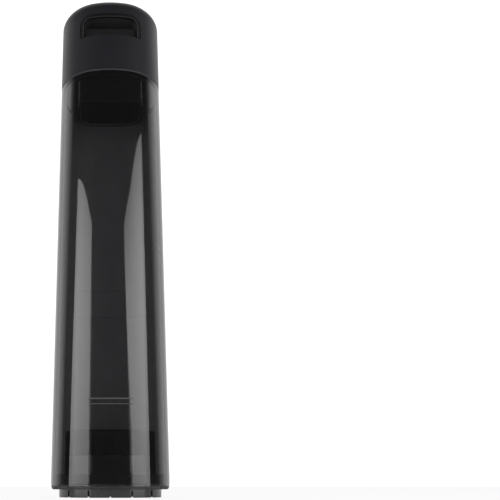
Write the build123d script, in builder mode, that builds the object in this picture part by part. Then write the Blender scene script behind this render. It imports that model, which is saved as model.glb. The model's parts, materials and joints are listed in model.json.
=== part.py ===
from build123d import *
import math
import os

# Clean water tank of an upright floor washer, standing on its lower end.
# X is the width, the front faces -Y and the tank's length runs up +Z. Millimetres.

# Section of the vessel, seen along its length
HALF_WIDTH = 42.0        # half the width at the widest line
CREST_RADIUS = 66.0      # front, either side of the middle
FLANK_RADIUS = 35.5      # front, where it turns to the sides
BACK_RADIUS = 68.0       # back, either side of the middle
BACK_CORNER = 12.0       # back, where it turns to the sides
WALL = 2.5               # wall of the clear front shell and of the tank back

# Heights along the tank
RIM_Z = 5.2              # lower rim of the vessel
TOP_Z = 400.0            # top face of the cap
CAP_HEIGHT = 73.0        # from the joint with the vessel
RIM_ROUND = 1.0          # lower edge of the vessel
TUCK = 2.9               # how far the flanks turn in at the lower rim
TUCK_RISE = 9.6          # height over which they do
SEAM_BEVEL = 0.7         # bevels that make the shadow line at the cap's joint

# Clearances
FIT = 0.3                # round pieces that are pushed together
RUN = 0.4                # round pieces that move
SLIP = 0.1               # between pieces that share a screw thread or a groove
PIN_FIT = 0.05           # round the hinge pin

# Lap flanges of the tank back, behind the flanks of the clear shell
LAP_REACH = 19.0         # forward of the widest line
LAP_WALL = 1.6
LAP_ROOT = 4.0
LAP_FOOT_Z = 15.2

# Beads inside the tank back
BEAD = 0.8               # height over the wall
BEAD_WIDTH = 1.2
BEAD_HALF = 32.0         # half the length of the level ones
BEAD_LEVELS = (133.0, 154.0)
BEAD_X = 11.7            # upright ones, under the lower level one
BEAD_FOOT_Z = 57.0

# Rear frame with its two hollow legs
FRAME_REACH = 40.5       # from the widest line to the back of the legs
LEG_HALF = 35.5          # half the width over both legs
LEG_WIDTH = 10.0
LEG_WALL = 2.2
LEG_ROUND = 2.0
SADDLE_GAP = 0.3         # glue line between frame and tank back
SADDLE_WALL = 2.0
NOTCH_Z = 24.0           # height of the open notch between the feet
FOOT_SLOPE = 12.0        # depth of the slanted edge on each foot
RIB_WALL = 1.6
RIB_PITCH = 45.0
WEB_SHARE = 0.55         # part of the foot's depth that its diagonal web spans

# Top cap
CAP_WALL = 2.5
CAP_BACK_HALF = 37.0     # half the width of the cap at its back
CAP_BACK_ROUND = 13.0
CAP_FLOOR = 2.0
TOP_ROUND = 12.0
LEDGE_DEPTH = 8.0        # thickened roof round the lid
LEDGE_MARGIN = 1.6

# Screws that hold the frame to the cap
SCREW_X = 18.0
SCREW_RADIUS = 1.45
SCREW_HEAD_RADIUS = 2.75
SCREW_HEAD = 2.0
SCREW_LENGTH = 14.0
TOWER_RADIUS = 3.2
TOWER_HEIGHT = 20.0

# Collar that closes the vessel, with its ears and filling neck
COLLAR_INSET = 1.4       # edge of the collar plate inside the vessel's outline
COLLAR_PLATE = 3.0
COLLAR_GASKET = 0.8
SPIGOT_DEPTH = 2.5
EAR_DEPTH = 30.5         # tips of the ears below the joint
EAR_SLOPE = 55.0         # degrees
NECK_DEPTH = 23.0        # below the joint
NECK_SETBACK = 10.3      # front of the neck behind the crest
NECK_BACK_GAP = 6.0      # back of the neck in front of the vessel's back
NECK_FRONT_HALF = 26.0
NECK_BACK_HALF = 29.0
NECK_FRONT_ROUND = 4.0
NECK_BACK_ROUND = 15.0
NECK_WALL = 2.0

# Filling mouth and its lid
MOUTH_HALF = 23.0
MOUTH_FRONT_Y = -12.0
MOUTH_DEPTH = 19.0
MOUTH_ROUND = 6.0
DUCT_WALL = 2.0
LID_MARGIN = 3.0         # the lid covers the mouth's edge by this much at the front
LID_SIDE_MARGIN = 4.0
LID_THICK = 3.0
LID_ROUND = 5.0
BARREL_RADIUS = 2.5
BARREL_HALF = 15.0
BARREL_BEHIND = 6.0      # hinge axis behind the mouth
BARREL_ROOM = 4.5        # room behind the hinge axis for the lid to swing
EAR_WIDTH = 5.0
PIN_RADIUS = 1.0
SEAL_DEPTH = 4.0
SEAL_WIDTH = 3.0
SEAL_GAP = 0.6
SCOOP_RADIUS = 8.0       # thumb hollows beside the lid
SCOOP_DEPTH = 2.0
VENT_HEAD_RADIUS = 4.2
VENT_STEM_RADIUS = 1.2
VENT_HEAD = 1.2
VENT_BUTTON_RADIUS = 1.9
VENT_BUTTON = 0.7
VENT_WELL_RADIUS = 3.0
VENT_WELL = 1.0
BREATHER_RADIUS = 0.5
BREATHERS = 4

# Finger cup and release button in the cap's front
SILL_DROP = 39.0         # lower edge of the window below the cap's top
WINDOW_HEIGHT = 21.5
WINDOW_HALF = 25.5
WINDOW_ROUND = 9.0
CUP_GAP = 0.5            # parting gap round the cup
CUP_BAR = 2.6            # rim of the cup beside the gap
CUP_WALL = 1.4
CUP_BACK = 17.75         # back of the cup behind the crest
CUP_TAB_HALF = 4.0
CUP_TAB_X = 15.0
PAD_SETBACK = 7.9        # front of the button behind the crest
PAD_RISE = 12.4          # top of the button above the sill
PAD_GAP = 0.6            # beside the button
PAD_ROUND = 1.5
BUTTON_SINK = 11.0       # foot of the button below the sill
BOLT_HALF = 7.0
BOLT_THICK = 2.8
BOLT_REACH = 3.5         # bolt above the cap's top
BOLT_BEVEL = 1.2
BRIDGE_HALF = 12.0
BUTTON_SPRING_X = 14.0
BUTTON_SPRING_RADIUS = 2.9
BUTTON_SPRING_WIRE = 0.4
BUTTON_SPRING_TURNS = 5
POST_RADIUS = 1.9
POST_HEIGHT = 5.0

# Bottom cover with the outlet valve
SKIRT_INSET = 6.0        # skirt inside the vessel's outline
SKIRT_WALL = 1.8
SKIRT_DRAFT = 0.8        # how far the skirt's sides draw in at its foot
COVER_TOP_Z = 27.0
FLANGE_THICK = 1.5       # flange that traps the gasket
FLANGE_INSET = 4.8
FLOOR_Z = 5.0
FLOOR_THICK = 2.5
PLATFORM_Z = 1.0         # lower face of the half-moon platform
CHANNEL = 4.5            # channel between platform and skirt at the front
CHANNEL_RIBS = (0.0, 14.5, 28.0)
SLIT_WIDTH = 1.0
SLIT_HEIGHT = 4.5
GASKET_TOP_Z = 14.5
BUSH_FLANGE_RADIUS = 15.0
BUSH_FLANGE = 2.5
BUSH_FLANGE_GAP = 0.5
BUSH_FOOT_Z = 0.6
BUSH_RADIUS = 11.0
BUSH_BORE_RADIUS = 7.5
BUSH_TOP_Z = 18.0
VALVE_MARGIN = 0.8       # between the bush's bed and the skirt
RING_RADIUS = 0.55       # thickness of the bush's seal ring, halved
GROOVE_DEPTH = 1.0
NUT_RADIUS = 13.4
NUT_HEIGHT = 4.0
NUT_BEVEL = 0.8
STEM_RADIUS = 7.1
STEM_ARM = 2.0
STEM_FOOT_Z = 3.0
HEAD_RADIUS = 10.0
HEAD_THICK = 2.0
HEAD_SEAL = 1.2
NUB_RADIUS = 4.6
NUB_HEIGHT = 3.0
VALVE_SPRING_RADIUS = 5.6
VALVE_SPRING_WIRE = 0.5
VALVE_SPRING_TURNS = 5
VALVE_SPRING_TOP_Z = 38.0
BASKET_WALL = 1.6
BASKET_TOP_Z = 44.0
BASKET_ROOF = 1.8
BASKET_ROUND = 1.2
BASKET_BOSS_RADIUS = 7.5
BASKET_SLOTS = 11
BASKET_SLOT_PITCH = 5.0
BASKET_SLOT_WIDTH = 1.8
BASKET_SLOT_HEIGHT = 9.0
BASKET_SLOT_RISE = 1.0   # slots start this far above the cover's wall


def arch_turn(crest_radius, flank_radius):
    """Angle from the middle at which the crest arc hands over to the flank arcs."""
    return math.asin((HALF_WIDTH - flank_radius) / (crest_radius - flank_radius))


def arch_rise(crest_radius, flank_radius):
    """Height of a three-centre arch over the widest line."""
    return crest_radius - (crest_radius - flank_radius) * math.cos(arch_turn(crest_radius, flank_radius))


SEAM_Z = TOP_Z - CAP_HEIGHT
FRONT_RISE = arch_rise(CREST_RADIUS, FLANK_RADIUS)
BACK_RISE = arch_rise(BACK_RADIUS, BACK_CORNER)
SPLIT_Y = (FRONT_RISE - FRAME_REACH) / 2
CREST_Y = SPLIT_Y - FRONT_RISE
BACK_Y = SPLIT_Y + FRAME_REACH
FRAME_MID_Y = (SPLIT_Y + BACK_Y) / 2
LAP_FRONT_Y = SPLIT_Y - LAP_REACH
LAP_OUTER = WALL + FIT
LAP_INNER = LAP_OUTER + LAP_WALL
LEG_X = LEG_HALF - LEG_WIDTH / 2
CHANNEL_HALF = LEG_HALF - LEG_WIDTH
SCREW_Y = BACK_Y - CAP_WALL - TOWER_RADIUS + 0.4
PLATE_Z = SEAM_Z + COLLAR_GASKET
PLATE_TOP_Z = PLATE_Z + COLLAR_PLATE
ROOF_Z = TOP_Z - CAP_WALL
LEDGE_Z = TOP_Z - LEDGE_DEPTH
NECK_Z = SEAM_Z - NECK_DEPTH
NECK_FRONT_Y = CREST_Y + NECK_SETBACK
NECK_BACK_Y = SPLIT_Y + BACK_RISE - NECK_BACK_GAP
MOUTH_BACK_Y = MOUTH_FRONT_Y + MOUTH_DEPTH
MOUTH_Y = (MOUTH_FRONT_Y + MOUTH_BACK_Y) / 2
LID_HALF = MOUTH_HALF + LID_SIDE_MARGIN
LID_FRONT_Y = MOUTH_FRONT_Y - LID_MARGIN
LID_FOOT_Z = TOP_Z - LID_THICK
HINGE_Y = MOUTH_BACK_Y + BARREL_BEHIND
HINGE_Z = TOP_Z - BARREL_RADIUS
LID_BACK_Y = HINGE_Y - BARREL_RADIUS - 2 * RUN
SILL_Z = TOP_Z - SILL_DROP
WINDOW_TOP_Z = SILL_Z + WINDOW_HEIGHT
CUP_BACK_Y = CREST_Y + CUP_BACK
CUP_FOOT_Z = SILL_Z + RUN
POCKET_INSET = CUP_GAP + CUP_BAR
PAD_TOP_Z = SILL_Z + PAD_RISE
BUTTON_FOOT_Z = SILL_Z - BUTTON_SINK
PAD_Y = CREST_Y + PAD_SETBACK
PAD_BACK_Y = CUP_BACK_Y - CUP_WALL - RUN
PAD_MID_Y = (PAD_Y + PAD_BACK_Y) / 2
BOLT_Y = CUP_BACK_Y + RUN
SKIRT_HALF = HALF_WIDTH - SKIRT_INSET
SKIRT_INNER = SKIRT_INSET + SKIRT_WALL
VALVE_Y = SPLIT_Y + BACK_RISE - SKIRT_INNER - BUSH_FLANGE_RADIUS - BUSH_FLANGE_GAP - VALVE_MARGIN
FLOOR_TOP_Z = FLOOR_Z + FLOOR_THICK
HEAD_Z = BUSH_TOP_Z + HEAD_SEAL
HEAD_TOP_Z = HEAD_Z + HEAD_THICK
BASKET_INSET = SKIRT_INNER + FIT
BASKET_SLOT_Z = COVER_TOP_Z + BASKET_SLOT_RISE + BASKET_SLOT_HEIGHT / 2


def arch_points(crest_radius, flank_radius, inset, facing):
    """Ends and middles of an arch's three arcs from +X to -X; facing is -1 at the front, 1 at the back."""
    turn = arch_turn(crest_radius, flank_radius)
    reach = flank_radius - inset

    def flank(angle):
        x = HALF_WIDTH - flank_radius + reach * math.sin(angle)
        return x, SPLIT_Y + facing * reach * math.cos(angle)

    right = [flank(math.pi / 2), flank((turn + math.pi / 2) / 2), flank(turn)]
    crest = (0.0, SPLIT_Y + facing * (arch_rise(crest_radius, flank_radius) - inset))
    return right + [crest] + [(-x, y) for x, y in reversed(right)]


def vessel_section(inset):
    """The vessel's section, drawn in by inset."""
    with BuildSketch() as section:
        with BuildLine():
            front = arch_points(CREST_RADIUS, FLANK_RADIUS, inset, -1)
            back = arch_points(BACK_RADIUS, BACK_CORNER, inset, 1)
            for points in (front, back):
                for start in (0, 2, 4):
                    ThreePointArc(*points[start:start + 3])
        make_face()
    return section.sketch


def cap_section(inset):
    """The cap's section: the vessel's front, and sides that draw in a little to a flat back."""
    with BuildSketch() as section:
        with BuildLine():
            front = arch_points(CREST_RADIUS, FLANK_RADIUS, 0, -1)
            for start in (0, 2, 4):
                ThreePointArc(*front[start:start + 3])
            right = TangentArc(front[0], (CAP_BACK_HALF, BACK_Y), tangent=(0, 1))
            left = TangentArc(front[-1], (-CAP_BACK_HALF, BACK_Y), tangent=(0, 1))
            Line(right @ 1, left @ 1)
        make_face()
        fillet(section.vertices().group_by(Axis.Y)[-1], radius=CAP_BACK_ROUND)
        if inset:
            offset(amount=-inset, mode=Mode.REPLACE)
    return section.sketch


def neck_section(inset):
    """The filling neck's section: flat front, sides that open a little, rounded back."""
    with BuildSketch() as section:
        with BuildLine():
            Polyline(
                (-NECK_FRONT_HALF, NECK_FRONT_Y),
                (NECK_FRONT_HALF, NECK_FRONT_Y),
                (NECK_BACK_HALF, NECK_BACK_Y),
                (-NECK_BACK_HALF, NECK_BACK_Y),
                close=True,
            )
        make_face()
        fillet(section.vertices().group_by(Axis.Y)[-1], radius=NECK_BACK_ROUND)
        fillet(section.vertices().group_by(Axis.Y)[0], radius=NECK_FRONT_ROUND)
        if inset:
            offset(amount=-inset, mode=Mode.REPLACE)
    return section.sketch


def window_section(inset, foot_z):
    """The inverted U of the cap's window, drawn in by inset, on a plane that faces the front."""
    height = WINDOW_TOP_Z - inset - foot_z
    with BuildSketch() as section:
        with Locations((0, foot_z + height / 2)):
            Rectangle(2 * (WINDOW_HALF - inset), height)
        fillet(section.vertices().group_by(Axis.Y)[-1], radius=WINDOW_ROUND - inset)
    return section.sketch


def mouth_section(growth):
    """The filling mouth's outline, grown on all sides."""
    with BuildSketch() as section:
        with Locations((0, MOUTH_Y)):
            RectangleRounded(2 * (MOUTH_HALF + growth), MOUTH_DEPTH + 2 * growth, MOUTH_ROUND + growth)
    return section.sketch


def flank_band(outer, inner, front_y, back_y):
    """Strips along both sides of the vessel between two insets and two depths."""
    with BuildSketch() as band:
        add(vessel_section(outer))
        add(vessel_section(inner), mode=Mode.SUBTRACT)
        with Locations((0, (front_y + back_y) / 2)):
            Rectangle(2 * HALF_WIDTH, back_y - front_y, mode=Mode.INTERSECT)
    return band.sketch


def ear_profile(margin):
    """Side view of the collar's ears with their slanted lower edge, grown by margin."""
    tip_z = SEAM_Z - EAR_DEPTH - margin
    back_y = SPLIT_Y - FIT + margin
    heel_z = tip_z + (back_y - LAP_FRONT_Y) * math.tan(math.radians(EAR_SLOPE))
    with BuildSketch() as profile:
        with BuildLine():
            Polyline(
                (LAP_FRONT_Y, tip_z),
                (back_y, heel_z),
                (back_y, PLATE_Z),
                (LAP_FRONT_Y, PLATE_Z),
                close=True,
            )
        make_face()
    return profile.sketch


def tucked(inset, top_z):
    """The vessel's outline, moved inwards by inset, as a solid whose flanks turn in at its foot."""
    foot_z = RIM_Z + inset
    side_x = HALF_WIDTH - inset
    turn_z = RIM_Z + TUCK_RISE
    with BuildPart() as solid:
        with BuildSketch(Plane.XY.offset(foot_z)):
            add(vessel_section(inset))
        extrude(amount=top_z - foot_z)
        fillet(solid.edges().group_by(Axis.Z)[0], radius=RIM_ROUND)
        with BuildSketch(Plane.XZ):
            with BuildLine():
                left = EllipticalCenterArc((TUCK - side_x, turn_z), TUCK, turn_z - foot_z, 180, arc_size=90)
                right = EllipticalCenterArc((side_x - TUCK, turn_z), TUCK, turn_z - foot_z, 270, arc_size=90)
                Line(left @ 1, right @ 0)
                Polyline(right @ 1, (side_x, SEAM_Z), (-side_x, SEAM_Z), left @ 0)
            make_face()
        extrude(amount=FRAME_REACH + FRONT_RISE, both=True, mode=Mode.INTERSECT)
    return solid.part


def vessel_half(keep):
    """One half of the vessel: a long tube with an open lower end, cut along its widest line."""
    with BuildPart() as vessel:
        add(tucked(0, SEAM_Z))
        chamfer(vessel.edges().group_by(Axis.Z)[-1], length=SEAM_BEVEL)
        add(tucked(WALL, SEAM_Z), mode=Mode.SUBTRACT)
        with BuildSketch(Plane.XY.offset(RIM_Z)):
            add(vessel_section(SKIRT_INSET - FIT))
        extrude(amount=TUCK_RISE, mode=Mode.SUBTRACT)
        split(bisect_by=Plane.XZ.offset(-SPLIT_Y), keep=keep)
    return vessel.part


def cap_core():
    """The hollow of the cap, with the rebate over the collar."""
    with BuildPart() as core:
        with BuildSketch(Plane.XY.offset(SEAM_Z)):
            add(cap_section(CAP_WALL))
        extrude(amount=ROOF_Z - SEAM_Z)
        fillet(core.edges().group_by(Axis.Z)[-1], radius=TOP_ROUND - CAP_WALL)
        with BuildSketch(Plane.XY.offset(SEAM_Z)):
            add(vessel_section(COLLAR_INSET - FIT))
        extrude(amount=PLATE_TOP_Z - SEAM_Z)
    return core.part


def collar_ears():
    """The collar's two ears inside the flanks of the clear shell."""
    with BuildPart() as ears:
        with BuildSketch(Plane.XY.offset(SEAM_Z - EAR_DEPTH)):
            add(flank_band(LAP_OUTER, LAP_INNER, LAP_FRONT_Y, SPLIT_Y))
        extrude(amount=PLATE_Z - SEAM_Z + EAR_DEPTH)
        with BuildSketch(Plane.YZ):
            add(ear_profile(0))
        extrude(amount=HALF_WIDTH, both=True, mode=Mode.INTERSECT)
    return ears.part


def coil(radius, wire, foot_z, top_z, turns, x, y):
    """A compression spring between two heights."""
    height = top_z - foot_z - 2 * wire
    with BuildPart() as spring:
        with BuildLine(Plane((x, y, foot_z + wire))) as path:
            Helix(pitch=height / turns, height=height, radius=radius)
        with BuildSketch(Plane(origin=path.line @ 0, z_dir=path.line % 0)):
            Circle(wire)
        sweep(path=path.line, is_frenet=True)
    return spring.part


os.makedirs("parts", exist_ok=True)

# Clear front shell
with BuildPart() as front_shell:
    add(vessel_half(Keep.TOP))
front_shell.part.label = "front_shell"
export_step(front_shell.part, "parts/front_shell.step")

# Tank back, welded to the front shell along the widest line, with its lap flanges behind the flanks
with BuildPart() as tank_back:
    add(vessel_half(Keep.BOTTOM))
    with BuildSketch(Plane.XY.offset(LAP_FOOT_Z)):
        add(flank_band(LAP_OUTER, LAP_INNER, LAP_FRONT_Y, SPLIT_Y + LAP_ROOT))
        add(flank_band(WALL / 2, LAP_INNER, SPLIT_Y, SPLIT_Y + LAP_ROOT))
    extrude(amount=SEAM_Z - SPIGOT_DEPTH - FIT - LAP_FOOT_Z)
    with BuildSketch(Plane.YZ):
        add(ear_profile(FIT))
    extrude(amount=HALF_WIDTH, both=True, mode=Mode.SUBTRACT)
    for bead_z in BEAD_LEVELS:
        with BuildSketch(Plane.XY.offset(bead_z)):
            add(flank_band(WALL / 2, WALL + BEAD, 0, BACK_Y))
            Rectangle(2 * BEAD_HALF, 2 * BACK_Y, mode=Mode.INTERSECT)
        extrude(amount=BEAD_WIDTH)
    with BuildSketch(Plane.XY.offset(BEAD_FOOT_Z)):
        with Locations((BEAD_X, BACK_Y / 2), (-BEAD_X, BACK_Y / 2)):
            Rectangle(BEAD_WIDTH, BACK_Y)
        add(flank_band(WALL / 2, WALL + BEAD, 0, BACK_Y), mode=Mode.INTERSECT)
    extrude(amount=min(BEAD_LEVELS) - BEAD_FOOT_Z)
tank_back.part.label = "tank_back"
export_step(tank_back.part, "parts/tank_back.step")

# Rear frame: a saddle under the tank back between two hollow legs, ribbed across
with BuildPart() as rear_frame:
    with BuildSketch() as profile:
        with Locations((LEG_X, FRAME_MID_Y), (-LEG_X, FRAME_MID_Y)):
            Rectangle(LEG_WIDTH, FRAME_REACH)
        fillet(profile.vertices().group_by(Axis.Y)[-1], radius=LEG_ROUND)
        with Locations((LEG_X, FRAME_MID_Y - LEG_WALL), (-LEG_X, FRAME_MID_Y - LEG_WALL)):
            Rectangle(LEG_WIDTH - 2 * LEG_WALL, FRAME_REACH, mode=Mode.SUBTRACT)
        add(vessel_section(-SADDLE_GAP), mode=Mode.SUBTRACT)
    extrude(amount=SEAM_Z)
    with BuildSketch(Plane.XY.offset(RIM_Z)):
        add(vessel_section(-SADDLE_GAP - SADDLE_WALL))
        with Locations((0, FRAME_MID_Y)):
            Rectangle(2 * CHANNEL_HALF + LEG_WALL, FRAME_REACH, mode=Mode.INTERSECT)
        add(vessel_section(-SADDLE_GAP), mode=Mode.SUBTRACT)
    extrude(amount=SEAM_Z - RIM_Z)
    for bulkhead_z in (NOTCH_Z, SEAM_Z - LEG_WALL):
        with BuildSketch(Plane.XY.offset(bulkhead_z)):
            with Locations((0, FRAME_MID_Y)):
                Rectangle(2 * CHANNEL_HALF + LEG_WALL, FRAME_REACH)
            add(vessel_section(-SADDLE_GAP), mode=Mode.SUBTRACT)
        extrude(amount=LEG_WALL)
    rib_count = int((SEAM_Z - RIB_WALL - NOTCH_Z) / RIB_PITCH) + 1
    rib_heights = [NOTCH_Z + rib * RIB_PITCH for rib in range(rib_count)] + [SEAM_Z - RIB_WALL]
    for rib_z in rib_heights:
        with BuildSketch(Plane.XY.offset(rib_z)):
            with Locations((LEG_X, FRAME_MID_Y - LEG_WALL / 2), (-LEG_X, FRAME_MID_Y - LEG_WALL / 2)):
                Rectangle(LEG_WIDTH - LEG_WALL, FRAME_REACH - LEG_WALL)
            add(vessel_section(-SADDLE_GAP), mode=Mode.SUBTRACT)
        extrude(amount=RIB_WALL)
    with BuildSketch():
        web_depth = WEB_SHARE * FRAME_REACH
        web_width = LEG_WIDTH - LEG_WALL
        web_y = BACK_Y - LEG_WALL / 2 - web_depth / 2
        slant = math.degrees(math.atan2(web_depth, web_width))
        for side in (1, -1):
            with Locations((side * LEG_X, web_y)):
                Rectangle(math.hypot(web_depth, web_width), RIB_WALL, rotation=side * slant)
    extrude(amount=NOTCH_Z)
    with BuildSketch(Plane.YZ):
        toe_reach = LEG_HALF - HALF_WIDTH + BACK_CORNER
        toe_y = SPLIT_Y + math.sqrt((BACK_CORNER + SADDLE_GAP) ** 2 - toe_reach ** 2)
        with BuildLine():
            Polyline((toe_y, 0), (toe_y, RIM_Z), (toe_y + FOOT_SLOPE, 0), close=True)
        make_face()
    extrude(amount=HALF_WIDTH, both=True, mode=Mode.SUBTRACT)
    with BuildSketch(Plane.XY.offset(SEAM_Z - LEG_WALL)):
        with Locations((SCREW_X, SCREW_Y), (-SCREW_X, SCREW_Y)):
            Circle(SCREW_RADIUS + FIT)
    extrude(amount=LEG_WALL, mode=Mode.SUBTRACT)
rear_frame.part.label = "rear_frame"
export_step(rear_frame.part, "parts/rear_frame.step")

# Top cap: hollow crown with filling duct, lid bed, hinge ears, the cup's window and screw towers
with BuildPart() as top_cap:
    with BuildSketch(Plane.XY.offset(SEAM_Z)):
        add(cap_section(0))
    extrude(amount=TOP_Z - SEAM_Z)
    fillet(top_cap.edges().group_by(Axis.Z)[-1], radius=TOP_ROUND)
    chamfer(top_cap.edges().group_by(Axis.Z)[0], length=SEAM_BEVEL)
    add(cap_core(), mode=Mode.SUBTRACT)
    with BuildSketch(Plane.XY.offset(SEAM_Z)):
        add(cap_section(CAP_WALL / 2))
        with Locations((0, FRAME_MID_Y)):
            Rectangle(2 * HALF_WIDTH, FRAME_REACH, mode=Mode.INTERSECT)
        add(vessel_section(COLLAR_INSET - FIT), mode=Mode.SUBTRACT)
    extrude(amount=CAP_FLOOR)
    with BuildSketch(Plane.XY.offset(SEAM_Z)):
        with Locations((SCREW_X, SCREW_Y), (-SCREW_X, SCREW_Y)):
            Circle(TOWER_RADIUS)
    extrude(amount=TOWER_HEIGHT)
    with BuildSketch(Plane.XY.offset(SEAM_Z)):
        with Locations((SCREW_X, SCREW_Y), (-SCREW_X, SCREW_Y)):
            Circle(SCREW_RADIUS + SLIP)
    extrude(amount=SCREW_LENGTH, mode=Mode.SUBTRACT)
    with BuildSketch(Plane.XY.offset(PLATE_TOP_Z)):
        add(mouth_section(DUCT_WALL))
    extrude(amount=ROOF_Z - PLATE_TOP_Z)
    with BuildSketch(Plane.XY.offset(LEDGE_Z)):
        ledge_front_y = LID_FRONT_Y - RUN - LEDGE_MARGIN
        ledge_back_y = HINGE_Y + BARREL_ROOM + LEDGE_MARGIN
        with Locations((0, (ledge_front_y + ledge_back_y) / 2)):
            Rectangle(2 * (LID_HALF + LEDGE_MARGIN), ledge_back_y - ledge_front_y)
    extrude(amount=ROOF_Z - LEDGE_Z)
    with BuildSketch(Plane.XY.offset(LID_FOOT_Z)):
        bed_front_y = LID_FRONT_Y - RUN
        bed_back_y = HINGE_Y + BARREL_ROOM
        with Locations((0, (bed_front_y + bed_back_y) / 2)):
            RectangleRounded(2 * (LID_HALF + RUN), bed_back_y - bed_front_y, LID_ROUND + RUN)
    extrude(amount=LID_THICK, mode=Mode.SUBTRACT)
    with BuildSketch(Plane.YZ):
        with Locations((HINGE_Y, HINGE_Z)):
            Circle(BARREL_RADIUS)
        with Locations((HINGE_Y, HINGE_Z - BARREL_RADIUS / 2)):
            Rectangle(2 * BARREL_RADIUS, BARREL_RADIUS)
    extrude(amount=BARREL_HALF + RUN + EAR_WIDTH, both=True)
    with BuildSketch(Plane.YZ):
        with Locations((HINGE_Y, HINGE_Z)):
            Circle(BARREL_RADIUS + RUN)
        with Locations((HINGE_Y, HINGE_Z + BARREL_RADIUS)):
            Rectangle(2 * (BARREL_RADIUS + RUN), 2 * BARREL_RADIUS)
    extrude(amount=BARREL_HALF + RUN, both=True, mode=Mode.SUBTRACT)
    with BuildSketch(Plane.YZ):
        with Locations((HINGE_Y, HINGE_Z)):
            Circle(PIN_RADIUS + PIN_FIT)
    extrude(amount=BARREL_HALF + RUN + EAR_WIDTH, both=True, mode=Mode.SUBTRACT)
    with BuildSketch(Plane.XY.offset(PLATE_TOP_Z)):
        add(mouth_section(0))
    extrude(amount=TOP_Z - PLATE_TOP_Z, mode=Mode.SUBTRACT)
    with BuildSketch(Plane.XY.offset(TOP_Z - SCOOP_DEPTH)):
        with Locations((LID_HALF, MOUTH_Y), (-LID_HALF, MOUTH_Y)):
            Circle(SCOOP_RADIUS / 2)
    extrude(amount=SCOOP_DEPTH, mode=Mode.SUBTRACT)
    with BuildSketch(Plane.XY.offset(ROOF_Z)):
        with Locations((0, BOLT_Y + BOLT_THICK / 2)):
            Rectangle(2 * (BOLT_HALF + RUN), BOLT_THICK + 2 * RUN)
    extrude(amount=CAP_WALL, mode=Mode.SUBTRACT)
    with BuildSketch(Plane.XZ.offset(-CUP_BACK_Y)):
        add(window_section(0, SILL_Z))
    extrude(amount=CUP_BACK_Y - CREST_Y, mode=Mode.SUBTRACT)
top_cap.part.label = "top_cap"
export_step(top_cap.part, "parts/top_cap.step")

# Two screws from under the frame's top bulkhead into the cap
with BuildPart() as cap_screws:
    with BuildSketch(Plane.XY.offset(SEAM_Z - LEG_WALL - SCREW_HEAD)):
        with Locations((SCREW_X, SCREW_Y), (-SCREW_X, SCREW_Y)):
            Circle(SCREW_HEAD_RADIUS)
    extrude(amount=SCREW_HEAD)
    with BuildSketch(Plane.XY.offset(SEAM_Z - LEG_WALL)):
        with Locations((SCREW_X, SCREW_Y), (-SCREW_X, SCREW_Y)):
            Circle(SCREW_RADIUS)
    extrude(amount=SCREW_LENGTH)
cap_screws.part.label = "cap_screws"
export_step(cap_screws.part, "parts/cap_screws.step")

# Finger cup: rim and pocket set into the cap's window, hung from the roof on two tabs
with BuildPart() as finger_cup:
    with BuildSketch(Plane.XZ.offset(-CUP_BACK_Y)):
        add(window_section(CUP_GAP, CUP_FOOT_Z))
    extrude(amount=CUP_BACK_Y - CREST_Y)
    with BuildSketch(Plane.XZ.offset(CUP_WALL - CUP_BACK_Y)):
        add(window_section(POCKET_INSET, CUP_FOOT_Z))
    extrude(amount=CUP_BACK_Y - CREST_Y, mode=Mode.SUBTRACT)
    with BuildSketch(Plane.XY.offset(CUP_FOOT_Z)):
        add(vessel_section(0))
    extrude(amount=WINDOW_TOP_Z - CUP_FOOT_Z, mode=Mode.INTERSECT)
    with BuildSketch(Plane.XZ.offset(-CUP_BACK_Y)):
        with Locations((CUP_TAB_X, (PAD_TOP_Z + ROOF_Z) / 2), (-CUP_TAB_X, (PAD_TOP_Z + ROOF_Z) / 2)):
            Rectangle(2 * CUP_TAB_HALF, ROOF_Z - PAD_TOP_Z)
    extrude(amount=CUP_WALL)
finger_cup.part.label = "finger_cup"
export_step(finger_cup.part, "parts/finger_cup.step")

# Release button: thumb pad in the cup, and behind the cup the bolt that catches in the machine
with BuildPart() as release_button:
    with BuildSketch(Plane.XY.offset(BUTTON_FOOT_Z)):
        with Locations((0, PAD_MID_Y)):
            Rectangle(2 * (WINDOW_HALF - POCKET_INSET - PAD_GAP), PAD_BACK_Y - PAD_Y)
    extrude(amount=PAD_TOP_Z - BUTTON_FOOT_Z)
    fillet(release_button.edges().group_by(Axis.Z)[-1], radius=PAD_ROUND)
    with BuildSketch(Plane.XY.offset(BUTTON_FOOT_Z)):
        with Locations((0, (PAD_MID_Y + BOLT_Y + BOLT_THICK) / 2)):
            Rectangle(2 * BRIDGE_HALF, BOLT_Y + BOLT_THICK - PAD_MID_Y)
    extrude(amount=CUP_FOOT_Z - RUN - BUTTON_FOOT_Z)
    with BuildSketch(Plane.XY.offset(BUTTON_FOOT_Z)):
        with Locations((0, BOLT_Y + BOLT_THICK / 2)):
            Rectangle(2 * BOLT_HALF, BOLT_THICK)
    extrude(amount=TOP_Z + BOLT_REACH - BUTTON_FOOT_Z)
    bolt_top = release_button.edges().group_by(Axis.Z)[-1]
    chamfer(bolt_top.sort_by(Axis.Y)[-1], length=BOLT_BEVEL)
release_button.part.label = "release_button"
export_step(release_button.part, "parts/release_button.step")

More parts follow.
